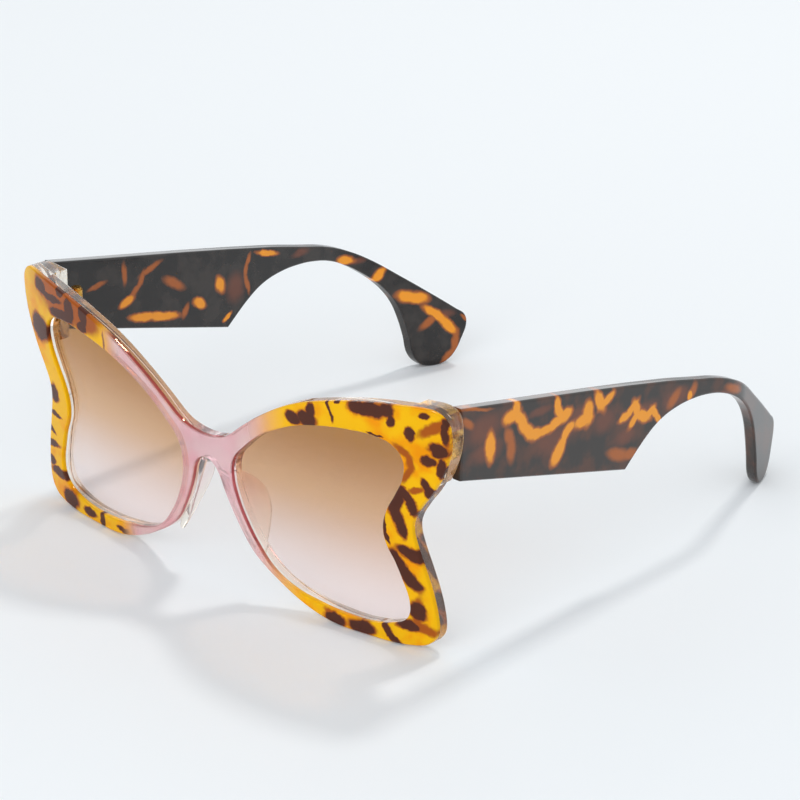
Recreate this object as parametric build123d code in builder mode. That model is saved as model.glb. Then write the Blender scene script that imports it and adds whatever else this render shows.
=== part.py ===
"""Butterfly sunglasses: a layered front, lenses and temples that fold on metal hinges.

X runs across the face, the glasses look along -Y, and +Z is up. They stand open on a table,
on the feet of the two rims and the tips of the two temples, with the origin under their middle.
"""

import os
from math import cos, radians, sin

from build123d import *

os.makedirs("parts", exist_ok=True)

# The whole pair
front_width = 146.4
front_height = 64.6
overall_depth = 154.3
half_width = front_width / 2

# How the front stands: its foot lies behind its foremost point, it leans forward
# at the top, and its sides wrap back, more at the brow than at the cheek
foot_setback = 5.2
front_lean = 7.1
brow_wrap = 10.9
cheek_wrap = 7.9
wrap_shares = ((0, 0), (0.5, 0.175), (0.75, 0.46), (1, 1), (1.06, 1.17))

# The front's layers, from its face backwards
face_thickness = 1.2
clear_thickness = 2.8
lens_set = 2.1
lens_thickness = 1.4
lens_bite = 0.9
lens_fit = 0.05
edge_bevel = 0.4
lens_outline_points = 20

corner_radius = 5.6
wing_tip_radius = 6.0
wing_tip_turn = 78.5

# Outline of the right half of the front, as shares of its half width and its height
brow_shares = (
    (0.014, 0.630), (0.066, 0.639), (0.105, 0.655), (0.186, 0.724), (0.283, 0.802),
    (0.418, 0.887), (0.544, 0.937), (0.661, 0.969), (0.770, 0.989),
)
side_shares = (
    (0.996, 0.834), (0.973, 0.749), (0.934, 0.664), (0.891, 0.594), (0.863, 0.534),
    (0.858, 0.492), (0.866, 0.437), (0.889, 0.345), (0.910, 0.255), (0.923, 0.170),
)
wing_tip_middle_share = (0.844, 0.108)
foot_shares = (
    (0.769, 0.002), (0.642, 0.0004), (0.549, 0.001), (0.486, 0.010), (0.383, 0.048), (0.298, 0.098),
    (0.214, 0.161), (0.173, 0.207), (0.135, 0.274), (0.097, 0.356), (0.072, 0.424),
    (0.056, 0.477), (0.034, 0.512), (0.014, 0.524),
)
opening_shares = (
    (0.117, 0.490), (0.198, 0.647), (0.341, 0.757), (0.545, 0.834), (0.726, 0.847),
    (0.824, 0.809), (0.806, 0.638), (0.746, 0.482), (0.781, 0.351), (0.826, 0.206),
    (0.824, 0.143), (0.681, 0.067), (0.461, 0.074), (0.285, 0.135), (0.151, 0.345),
)

# Nose pads, moulded with the clear layer
pad_height = 26.0
pad_depth = 6.6
pad_thickness = 1.8
pad_middle = (8.9, 21.5)
pad_slope = 25.5
pad_flare = 18.0
pad_bevel = 0.55
pad_edge_shares = ((-0.5, -0.3), (-0.26, 0.52), (0, 1), (0.2, 0.88), (0.5, -0.3))

# Endpieces: the clear bosses behind the top corners, which carry the hinges
boss_inner = half_width - 10.9
boss_top = front_height - 1.2
boss_bottom = boss_top - 18.4
boss_back = 14.8
boss_round = 1.2

# Temples
temple_thickness = 3.2
temple_spread = half_width - 1.2
temple_toe_in = 1.8
temple_gap = 0.2
temple_front_top = front_height - 1.3
temple_front_bottom = boss_bottom
tip_spread = half_width - 17.2
hook_start = 105.5
hook_bend_radius = 30.0
band_reach_share = 1.2

# Side outline of a temple, as shares of its length behind the boss and of its front top height
temple_top_shares = (
    (0.643, 0.690), (0.708, 0.651), (0.760, 0.603), (0.803, 0.549), (0.866, 0.447),
    (0.935, 0.330), (0.995, 0.218),
)
temple_tip_shares = ((0.9995, 0.186), (0.988, 0.103), (0.975, 0.047), (0.958, 0.012), (0.940, 0))
temple_heel_share = (0.926, 0)
temple_hook_shares = (
    (0.918, 0.003), (0.908, 0.014), (0.892, 0.060), (0.883, 0.150), (0.871, 0.245), (0.859, 0.313),
    (0.841, 0.377), (0.816, 0.438), (0.787, 0.491), (0.753, 0.540), (0.717, 0.578), (0.674, 0.604),
    (0.620, 0.616), (0.573, 0.610), (0.534, 0.590), (0.502, 0.555),
)
scoop_start_share = (0.437, 0.447)

# Hinges
hinge_across = half_width - 8.6
hinge_setback = 4.4
hinge_middle = front_height - 11.2
knuckle_radius = 1.6
knuckle_height = 1.7
knuckle_gap = 0.05
leaf_thickness = 1.6
screw_radius = 0.7
screw_fit = 0.05
screw_head_radius = 1.25
screw_head_height = 0.6
screw_slot_width = 0.3
screw_slot_depth = 0.25
anchor_width = 3.2
anchor_depth = 4.0
anchor_teeth = 4
anchor_tooth_depth = 0.5
plate_length = 9.0
plate_height = 5.0
plate_depth = 1.2
plate_lead = 3.0
plate_corner = 1.0

overrun = 5.0

front_thickness = face_thickness + clear_thickness
foremost = -overall_depth / 2
foot_face = foremost + foot_setback
boss_face = foremost + boss_back
temple_length = overall_depth / 2 - boss_face
hinge_axis_y = boss_face + hinge_setback
knuckle_step = knuckle_height + knuckle_gap
hinge_height = 3 * knuckle_height + 2 * knuckle_gap


def outline_points(shares):
    """Points of the front's elevation, from shares of its half width and height."""
    return [(across * half_width, up * front_height) for across, up in shares]


def side_points(shares):
    """Points of a temple's side elevation, from shares of its length and front top height."""
    return [(boss_face + back * temple_length, up * temple_front_top) for back, up in shares]


def wrapped_layer(front_depth, back_depth):
    """A layer of the curved front between two depths behind its face, past its outline all round."""
    levels = ((-overrun, cheek_wrap), (front_height + overrun, brow_wrap))
    with BuildPart() as layer:
        for level, wrap in levels:
            lean = front_lean * level / front_height
            right = [(across * half_width, back * wrap) for across, back in wrap_shares]
            left = [(-across, back) for across, back in reversed(right[1:])]
            with BuildSketch(Plane.XY.offset(level)):
                with BuildLine():
                    near = [(x, y + foot_face - lean + front_depth) for x, y in left + right]
                    far = [(x, y + foot_face - lean + back_depth) for x, y in left + right]
                    front_edge = Spline(*near)
                    back_edge = Spline(*far)
                    Line(front_edge @ 0, back_edge @ 0)
                    Line(front_edge @ 1, back_edge @ 1)
                make_face()
        loft(ruled=True)
    return layer.part


# Elevation outlines: the front, and the right lens opening
with BuildSketch(Plane.XZ) as front_outline:
    with BuildLine():
        corner_middle = (half_width - corner_radius, front_height - corner_radius)
        corner = CenterArc(corner_middle, corner_radius, 90, -90)
        brow = Spline(*outline_points(brow_shares), corner @ 0, tangents=((1, 0), (1, 0)))
        wing_tip = CenterArc(outline_points([wing_tip_middle_share])[0], wing_tip_radius, 0, -wing_tip_turn)
        Spline(corner @ 1, *outline_points(side_shares), wing_tip @ 0, tangents=((0, -1), (0, -1)))
        foot = Spline(wing_tip @ 1, *outline_points(foot_shares), tangents=(wing_tip % 1, (-1, 0)))
        Line((0, (brow @ 0).Y), brow @ 0)
        Line(foot @ 1, (0, (foot @ 1).Y))
        mirror(about=Plane.YZ)
    make_face()

with BuildSketch(Plane.XZ) as opening:
    with BuildLine():
        opening_edge = Spline(*outline_points(opening_shares), periodic=True)
    make_face()


def grown_opening(amount):
    """Points round the lens opening, moved outwards from its edge by an amount."""
    points = []
    for number in range(lens_outline_points):
        here = opening_edge @ (number / lens_outline_points)
        along = opening_edge % (number / lens_outline_points)
        points.append(here + Vector(-along.Y, along.X) * amount)
    return points


# Coloured face of the front
with BuildPart() as front_face:
    with BuildSketch(Plane.XZ):
        add(front_outline.sketch_local)
        add(opening.sketch_local, mode=Mode.SUBTRACT)
        add(opening.sketch_local.mirror(Plane.YZ), mode=Mode.SUBTRACT)
    extrude(amount=overall_depth, both=True)
    add(wrapped_layer(0, face_thickness), mode=Mode.INTERSECT)
    face = front_face.faces().sort_by(SortBy.AREA)[-1]
    if face.normal_at().Y > 0:
        face = front_face.faces().sort_by(SortBy.AREA)[-2]
    opening_edges = ShapeList([edge for wire in face.inner_wires() for edge in wire.edges()])
    chamfer(opening_edges, length=edge_bevel)
front_face.part.label = "front_face"
export_step(front_face.part, "parts/front_face.step")

# Lenses, and the grooves that hold them
with BuildPart() as lens_right:
    with BuildSketch(Plane.XZ):
        with BuildLine():
            Spline(*grown_opening(lens_bite), periodic=True)
        make_face()
    extrude(amount=overall_depth, both=True)
    add(wrapped_layer(lens_set, lens_set + lens_thickness), mode=Mode.INTERSECT)
lens_right.part.label = "lens_right"
export_step(lens_right.part, "parts/lens_right.step")

with BuildPart() as groove:
    with BuildSketch(Plane.XZ):
        with BuildLine():
            Spline(*grown_opening(lens_bite + lens_fit), periodic=True)
        make_face()
    extrude(amount=overall_depth, both=True)
    add(wrapped_layer(lens_set - lens_fit, lens_set + lens_thickness + lens_fit), mode=Mode.INTERSECT)

# Hinge half in the front: a toothed anchor, two leaves and two knuckles
hinge_bottom = hinge_middle - hinge_height / 2
anchor_bottom = hinge_bottom + anchor_tooth_depth / 2
anchor_top = hinge_bottom + hinge_height - anchor_tooth_depth / 2
tooth_pitch = anchor_depth / anchor_teeth
with BuildPart() as anchor:
    with BuildSketch(Plane.YZ.offset(hinge_across - anchor_width / 2)):
        with BuildLine():
            upper = []
            lower = []
            for tooth in range(anchor_teeth):
                back = boss_face - tooth * tooth_pitch
                upper += [(back, anchor_top - anchor_tooth_depth), (back - tooth_pitch, anchor_top)]
                lower += [(back, anchor_bottom + anchor_tooth_depth), (back - tooth_pitch, anchor_bottom)]
            Polyline(*upper, *reversed(lower), close=True)
        make_face()
    extrude(amount=anchor_width)

with BuildPart() as front_hinge_right:
    add(anchor.part)
    for level in (hinge_bottom, hinge_bottom + 2 * knuckle_step):
        with BuildSketch(Plane.XY.offset(level)):
            with Locations((hinge_across, (boss_face + hinge_axis_y) / 2 - leaf_thickness / 2)):
                Rectangle(leaf_thickness, hinge_setback + leaf_thickness)
            with Locations((hinge_across, hinge_axis_y)):
                Circle(knuckle_radius)
                Circle(screw_radius + screw_fit, mode=Mode.SUBTRACT)
        extrude(amount=knuckle_height)
front_hinge_right.part.label = "front_hinge_right"
export_step(front_hinge_right.part, "parts/front_hinge_right.step")

with BuildPart() as front_hinge_left:
    add(front_hinge_right.part)
    mirror(about=Plane.YZ, mode=Mode.REPLACE)
front_hinge_left.part.label = "front_hinge_left"
export_step(front_hinge_left.part, "parts/front_hinge_left.step")

with BuildPart() as lens_left:
    add(lens_right.part)
    mirror(about=Plane.YZ, mode=Mode.REPLACE)
lens_left.part.label = "lens_left"
export_step(lens_left.part, "parts/lens_left.step")

# Nose pad, a curved plate that flares outwards as it runs back from the rim
lean_slope = front_lean / front_height
pad_across, pad_level = pad_middle
pad_seat = (pad_across, foot_face - lean_slope * pad_level + front_thickness, pad_level)
pad_along = Vector(-sin(radians(pad_slope)), -lean_slope, cos(radians(pad_slope)))
pad_back = Vector(sin(radians(pad_flare)), cos(radians(pad_flare)), 0)
with BuildPart() as nose_pad:
    with BuildSketch(Plane(pad_seat, x_dir=pad_along, z_dir=pad_along.cross(pad_back))):
        with BuildLine():
            rim = Spline(*[(along * pad_height, back * pad_depth) for along, back in pad_edge_shares])
            Line(rim @ 0, rim @ 1)
        make_face()
    extrude(amount=pad_thickness / 2, both=True)
    pad_rim = nose_pad.edges().filter_by(GeomType.BSPLINE)
    chamfer(pad_rim, length=pad_bevel)

# Endpiece boss behind a top corner, out to the front's outline
with BuildPart() as boss:
    with BuildSketch(Plane.XZ.offset(-boss_face)):
        add(front_outline.sketch_local)
        with Locations(((boss_inner + half_width + overrun) / 2, (boss_bottom + boss_top) / 2)):
            Rectangle(half_width + overrun - boss_inner, boss_top - boss_bottom, mode=Mode.INTERSECT)
    extrude(amount=boss_back)
    boss_back_face = boss.faces().sort_by(Axis.Y)[-1]
    boss_inner_edge = boss_back_face.edges().sort_by(Axis.X)[0]
    boss_bottom_edge = boss_back_face.edges().sort_by(Axis.Z)[0]
    fillet([boss_inner_edge, boss_bottom_edge], radius=boss_round)
    add(wrapped_layer(face_thickness, boss_back + brow_wrap), mode=Mode.INTERSECT)

# Clear layer of the front, with its bosses and nose pads, cut for the lenses and the hinge anchors
with BuildPart() as clear_frame:
    with BuildSketch(Plane.XZ):
        add(front_outline.sketch_local)
        add(opening.sketch_local, mode=Mode.SUBTRACT)
        add(opening.sketch_local.mirror(Plane.YZ), mode=Mode.SUBTRACT)
    extrude(amount=overall_depth, both=True)
    add(wrapped_layer(face_thickness, front_thickness), mode=Mode.INTERSECT)
    for half in (boss.part, nose_pad.part):
        add(half)
        add(half.mirror(Plane.YZ))
    for half in (groove.part, front_hinge_right.part):
        add(half, mode=Mode.SUBTRACT)
        add(half.mirror(Plane.YZ), mode=Mode.SUBTRACT)
clear_frame.part.label = "clear_frame"
export_step(clear_frame.part, "parts/clear_frame.step")

# Temple: its side elevation, cut from a flat band that bends inwards behind the ear
temple_front = boss_face + temple_gap
scoop_start = side_points([scoop_start_share])[0]
with BuildSketch(Plane.YZ) as temple_side:
    with BuildLine():
        top_points = side_points(temple_top_shares)
        tip_points = side_points(temple_tip_shares)
        hook_points = side_points(temple_hook_shares)
        top_line = Line((temple_front, temple_front_top), top_points[0])
        tip_direction = (Vector(*top_points[-1]) - Vector(*top_points[-2])).normalized()
        top_curve = Spline(*top_points, tangents=(top_line % 1, tip_direction))
        tip_corner = TangentArc(top_curve @ 1, tip_points[0], tangent=top_curve % 1)
        tip_curve = Spline(*tip_points, tangents=(tip_corner % 1, (-1, 0)))
        heel = Line(tip_curve @ 1, side_points([temple_heel_share])[0])
        hook_curve = Spline(heel @ 1, *hook_points)
        Line(hook_curve @ 1, scoop_start)
        Line(scoop_start, (temple_front, temple_front_bottom))
        Line((temple_front, temple_front_bottom), (temple_front, temple_front_top))
    make_face()

band_front = Vector(temple_spread - temple_thickness / 2, boss_face - overrun)
band_hook = Vector(band_front.X - temple_toe_in, boss_face + hook_start)
band_tip = Vector(tip_spread - temple_thickness / 2, overall_depth / 2)
band_end = band_hook + (band_tip - band_hook) * band_reach_share
with BuildPart() as temple_right:
    with BuildSketch(Plane.XY.offset(-overrun)):
        with BuildLine():
            FilletPolyline(band_front, band_hook, band_end, radius=hook_bend_radius)
        trace(line_width=temple_thickness)
    extrude(amount=front_height + 2 * overrun)
    with BuildSketch(Plane.YZ, mode=Mode.PRIVATE) as side:
        add(temple_side.sketch_local)
    extrude(to_extrude=side.sketch, amount=half_width + overrun, mode=Mode.INTERSECT)

# Hinge half in the temple: a plate let into its inner face, one leaf and one knuckle
temple_inner = temple_spread - temple_thickness
middle_bottom = hinge_bottom + knuckle_step
plate_front = temple_front + plate_lead
plate_bottom = hinge_middle - plate_height / 2
with BuildPart() as temple_hinge_right:
    with BuildSketch(Plane.XY.offset(middle_bottom)):
        with Locations(((hinge_across + temple_inner) / 2 + leaf_thickness / 2, hinge_axis_y)):
            Rectangle(temple_inner - hinge_across + leaf_thickness, leaf_thickness)
        with Locations((hinge_across, hinge_axis_y)):
            Circle(knuckle_radius)
            Circle(screw_radius + screw_fit, mode=Mode.SUBTRACT)
    extrude(amount=knuckle_height)
    with BuildSketch(Plane.YZ.offset(temple_inner)):
        with Locations((plate_front + plate_length / 2, hinge_middle)):
            RectangleRounded(plate_length, plate_height, radius=plate_corner)
    extrude(amount=plate_depth)
temple_hinge_right.part.label = "temple_hinge_right"
export_step(temple_hinge_right.part, "parts/temple_hinge_right.step")

with BuildPart() as temple_hinge_left:
    add(temple_hinge_right.part)
    mirror(about=Plane.YZ, mode=Mode.REPLACE)
temple_hinge_left.part.label = "temple_hinge_left"
export_step(temple_hinge_left.part, "parts/temple_hinge_left.step")

with temple_right:
    add(temple_hinge_right.part, mode=Mode.SUBTRACT)
temple_right.part.label = "temple_right"
export_step(temple_right.part, "parts/temple_right.step")

with BuildPart() as temple_left:
    add(temple_right.part)
    mirror(about=Plane.YZ, mode=Mode.REPLACE)
temple_left.part.label = "temple_left"
export_step(temple_left.part, "parts/temple_left.step")

# Hinge screw: a slotted head over the top knuckle and a shank through all three
with BuildPart() as hinge_screw_right:
    with BuildSketch(Plane.XY.offset(hinge_bottom)):
        with Locations((hinge_across, hinge_axis_y)):
            Circle(screw_radius)
    extrude(amount=hinge_height)
    with BuildSketch(Plane.XY.offset(hinge_bottom + hinge_height)):
        with Locations((hinge_across, hinge_axis_y)):
            Circle(screw_head_radius)
    extrude(amount=screw_head_height)
    with BuildSketch(Plane.XY.offset(hinge_bottom + hinge_height + screw_head_height)):
        with Locations((hinge_across, hinge_axis_y)):
            Rectangle(2 * screw_head_radius, screw_slot_width)
    extrude(amount=-screw_slot_depth, mode=Mode.SUBTRACT)
hinge_screw_right.part.label = "hinge_screw_right"
export_step(hinge_screw_right.part, "parts/hinge_screw_right.step")

with BuildPart() as hinge_screw_left:
    add(hinge_screw_right.part)
    mirror(about=Plane.YZ, mode=Mode.REPLACE)
hinge_screw_left.part.label = "hinge_screw_left"
export_step(hinge_screw_left.part, "parts/hinge_screw_left.step")
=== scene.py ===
"""Looks for a pair of butterfly sunglasses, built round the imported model.

X runs across the face, the glasses look along -Y, and +Z is up. Sizes in the classes are in
millimetres, as on a maker's drawing, and every finished mesh is in metres, as the studio is.
"""

import logging
import math
from dataclasses import dataclass
from enum import Enum

import bmesh
import bpy
from mathutils import Matrix, Vector


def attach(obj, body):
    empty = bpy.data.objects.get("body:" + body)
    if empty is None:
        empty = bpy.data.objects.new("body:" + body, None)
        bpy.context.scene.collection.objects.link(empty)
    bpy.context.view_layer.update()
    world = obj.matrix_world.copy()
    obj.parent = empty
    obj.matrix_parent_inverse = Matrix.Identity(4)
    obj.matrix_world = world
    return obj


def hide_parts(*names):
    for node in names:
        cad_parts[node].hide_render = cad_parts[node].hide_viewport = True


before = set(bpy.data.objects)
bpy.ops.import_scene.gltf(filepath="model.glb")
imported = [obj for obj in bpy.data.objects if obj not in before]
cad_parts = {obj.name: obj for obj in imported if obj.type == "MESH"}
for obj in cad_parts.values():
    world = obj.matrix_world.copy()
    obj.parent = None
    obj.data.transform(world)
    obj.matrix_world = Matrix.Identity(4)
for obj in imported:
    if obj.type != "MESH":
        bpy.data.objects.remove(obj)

logging.basicConfig(level=logging.INFO, format="%(message)s")
log = logging.getLogger("sunglasses")

MM = 0.001
SPAN_STEPS = 5  # parts of each span of an outline
RIM_STEPS = 3  # parts of each rounded rim
MERGE = 0.002  # points nearer than this are one
NEAR_PLANE = 1e-5  # points nearer than this lie on a cutting plane
CRISP = 38.0  # an edge that turns by more degrees than this stays crisp
BROAD_WAVES = 0.16  # in a millimetre, so an outline wanders about every 6 mm
FINE_WAVES = 0.75  # in a millimetre, so it trembles about every 1.3 mm
RUN_TOGETHER = 0.2  # how softly blotches run into each other, in shares of their radius
STREAK_SPARE = 1.2  # a streak's blotches are longer than its runs by this many widths
VEIN_SWELL = 0.6  # times the widths at both ends: a vein's blotches, a fifth wider than drawn

Tree = bpy.types.NodeTree
Socket = bpy.types.NodeSocket
Material = bpy.types.Material
Shape = bmesh.types.BMesh
Point = tuple[float, float]
Spot = tuple[float, float, float]


class Side(Enum):
    """Which half of the pair a piece belongs to; the value is the sign of its X."""

    LEFT = -1
    RIGHT = 1

    @property
    def word(self) -> str:
        """The side's name as the nodes spell it."""
        return self.name.lower()


class Edge(Enum):
    """How a control point joins its neighbours."""

    SMOOTH = "AUTO"
    CORNER = "VECTOR"


Control = tuple[float, float, Edge]


# Shared shader helpers


def linear(code: str) -> tuple[float, float, float, float]:
    """Turns an sRGB hex code into linear colour.

    Args:
        code: six hex digits, red first.

    Returns:
        Red, green, blue and full alpha.
    """
    parts = [int(code[at:at + 2], 16) / 255 for at in (0, 2, 4)]
    return (*[p / 12.92 if p <= 0.04045 else ((p + 0.055) / 1.055) ** 2.4 for p in parts], 1.0)


def add_node(tree: Tree, kind: str, values: dict | None = None, links: dict | None = None,
             **settings: str) -> bpy.types.Node:
    """Adds a node with its settings, input values and links.

    Args:
        tree: the node tree that gets it.
        kind: the node's type name.
        values: input name or number to value.
        links: input name or number to the socket that feeds it.
        settings: the node's own properties.

    Returns:
        The new node.
    """
    node = tree.nodes.new(kind)
    for name, value in settings.items():
        setattr(node, name, value)
    for name, value in (values or {}).items():
        node.inputs[name].default_value = value
    for name, socket in (links or {}).items():
        tree.links.new(socket, node.inputs[name])
    return node


def shader_of(name: str, values: dict) -> tuple[Material, bpy.types.Node]:
    """Makes a material with one principled shader.

    Args:
        name: the material's name.
        values: input name to value, for what is the same all over the surface.

    Returns:
        The material and its principled shader.
    """
    material = bpy.data.materials.new(name)
    material.use_nodes = True
    tree = material.node_tree
    tree.nodes.clear()
    shader = add_node(tree, "ShaderNodeBsdfPrincipled", values)
    add_node(tree, "ShaderNodeOutputMaterial", links={"Surface": shader.outputs[0]})
    return material, shader


def maths(tree: Tree, operation: str, *terms: Socket | float) -> Socket:
    """Works out one value from others.

    Args:
        tree: the node tree.
        operation: what is done with them.
        terms: sockets or numbers, in the node's order.

    Returns:
        The result.
    """
    values = {slot: term for slot, term in enumerate(terms) if isinstance(term, float)}
    links = {slot: term for slot, term in enumerate(terms) if slot not in values}
    return add_node(tree, "ShaderNodeMath", values, links, operation=operation).outputs[0]


def noise_at(tree: Tree, place: Socket, waves: float, detail: float = 3.0, coloured: bool = False) -> Socket:
    """Gives noise from 0 to 1.

    Args:
        tree: the node tree.
        place: the point in millimetres.
        waves: the noise's waves in a millimetre.
        detail: how many finer waves lie on them.
        coloured: whether it gives three values, and not one.

    Returns:
        The noise.
    """
    outputs = add_node(tree, "ShaderNodeTexNoise", {"Scale": waves, "Detail": detail}, {"Vector": place}).outputs
    return outputs["Color"] if coloured else outputs[0]


def place_in_mm(tree: Tree, broad: float, fine: float) -> Socket:
    """Gives the object coordinates in millimetres, moved by noise so that pattern edges wander.

    Args:
        tree: the node tree.
        broad: how far the broad noise moves a point, in millimetres.
        fine: how far the fine noise moves a point, in millimetres.

    Returns:
        The vector socket.
    """
    place = add_node(tree, "ShaderNodeTexCoord").outputs["Object"]
    place = add_node(tree, "ShaderNodeVectorMath", {3: 1 / MM}, {0: place}, operation="SCALE").outputs[0]
    moved = place
    for waves, reach in ((BROAD_WAVES, broad), (FINE_WAVES, fine)):
        noise = noise_at(tree, place, waves, 2.0, True)
        swing = add_node(tree, "ShaderNodeVectorMath", {1: (0.5, 0.5, 0.5)}, {0: noise},
                         operation="SUBTRACT").outputs[0]
        swing = add_node(tree, "ShaderNodeVectorMath", {3: 2 * reach}, {0: swing}, operation="SCALE").outputs[0]
        moved = add_node(tree, "ShaderNodeVectorMath", links={0: moved, 1: swing}, operation="ADD").outputs[0]
    return moved


def ramp_between(tree: Tree, value: Socket, span: Point, bottom: float = 0.0, top: float = 1.0) -> Socket:
    """Eases from bottom to top as a value runs through a span.

    Args:
        tree: the node tree.
        value: the socket to read.
        span: where the change starts and where it ends.
        bottom: the result before it.
        top: the result after it.

    Returns:
        The eased value.
    """
    node = add_node(tree, "ShaderNodeMapRange", {1: span[0], 2: span[1], 3: bottom, 4: top}, {0: value},
                    interpolation_type="SMOOTHSTEP")
    return node.outputs[0]


def mix_colour(tree: Tree, share: Socket, first: str | Socket, second: str | Socket) -> Socket:
    """Mixes two colours, each a hex code or a socket.

    Args:
        tree: the node tree.
        share: how much of the second shows.
        first: the colour at share 0.
        second: the colour at share 1.

    Returns:
        The mixed colour.
    """
    values, links = {}, {0: share}
    for slot, colour in ((6, first), (7, second)):
        if isinstance(colour, str):
            values[slot] = linear(colour)
        else:
            links[slot] = colour
    return add_node(tree, "ShaderNodeMix", values, links, data_type="RGBA").outputs[2]


@dataclass(frozen=True)
class Blotch:
    """A soft oval patch of one tone in a sheet of acetate, in millimetres.

    The first two fields are the middle along and up, then come its width, its height and its turn in degrees.
    """

    along: float
    up: float
    width: float
    height: float
    turn: float = 0.0


def run_between(start: Point, end: Point, width: float, spare: float) -> Blotch:
    """Lays one long blotch from a point to another.

    Args:
        start: the first point.
        end: the second point.
        width: how wide the blotch is.
        spare: how much longer than the run it is.

    Returns:
        The blotch.
    """
    along, up = end[0] - start[0], end[1] - start[1]
    return Blotch((start[0] + end[0]) / 2, (start[1] + end[1]) / 2, math.hypot(along, up) + spare, width,
                  math.degrees(math.atan2(up, along)))


def patches(*rows: tuple[float, ...]) -> tuple[Blotch, ...]:
    """Lays blotches, each row the fields of one."""
    return tuple(Blotch(*row) for row in rows)


def streaks(*rows: tuple[float | Point, ...]) -> tuple[Blotch, ...]:
    """Lays overlapping blotches along broken lines, each row a line's width and then its points."""
    return tuple(run_between(start, end, width, STREAK_SPARE * width)
                 for width, *points in rows for start, end in zip(points, points[1:]))


def veins(*rows: tuple[Spot, ...]) -> tuple[Blotch, ...]:
    """Lays overlapping blotches along broken lines, each point of a row along, up and the width there.

    Args:
        rows: the lines.

    Returns:
        The blotches.
    """
    laid = []
    for points in rows:
        for start, end in zip(points, points[1:]):
            swollen = VEIN_SWELL * (start[2] + end[2])
            laid.append(run_between(start[:2], end[:2], swollen, swollen))
    return tuple(laid)


def ragged(tree: Tree, place: Socket, value: Socket, waves: float, swing: float) -> Socket:
    """Adds noise to a value, so that what is drawn where it crosses 1 swells and thins.

    Args:
        tree: the node tree.
        place: the point in millimetres.
        value: the socket to change.
        waves: the noise's waves in a millimetre.
        swing: how far the noise moves the value.

    Returns:
        The changed value.
    """
    noise = maths(tree, "SUBTRACT", noise_at(tree, place, waves, 2.0), 0.5)
    return maths(tree, "MULTIPLY_ADD", noise, 2 * swing, value)


def distance_to(tree: Tree, place: Socket, blotches: tuple[Blotch, ...], sideways: bool) -> Socket:
    """Finds how far a point is from the nearest blotch, 1 being on its rim.

    Args:
        tree: the node tree.
        place: the point in millimetres.
        blotches: the patches.
        sideways: whether along means Y, as on a temple, and not X, as on the front.

    Returns:
        The smoothed least distance.
    """
    nearest = None
    for patch in blotches:
        turn = math.radians(patch.turn)
        if sideways:
            values = {1: (0, patch.along, patch.up), 2: (turn, 0, 0), 3: (1 / MM, patch.width / 2, patch.height / 2)}
        else:
            values = {1: (patch.along, 0, patch.up), 2: (0, -turn, 0), 3: (patch.width / 2, 1 / MM, patch.height / 2)}
        fitted = add_node(tree, "ShaderNodeMapping", values, {0: place}, vector_type="TEXTURE").outputs[0]
        reach = add_node(tree, "ShaderNodeVectorMath", links={0: fitted}, operation="LENGTH").outputs["Value"]
        nearest = reach if nearest is None else maths(tree, "SMOOTH_MIN", nearest, reach, RUN_TOGETHER)
    return nearest


# Finishes. wander is how far broad and fine noise move a pattern, in millimetres. Other pairs, where
# nothing else is said, are where a change starts and ends: in millimetres across the front, in shares
# of a blotch's radius, or from 0 to 1.


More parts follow.
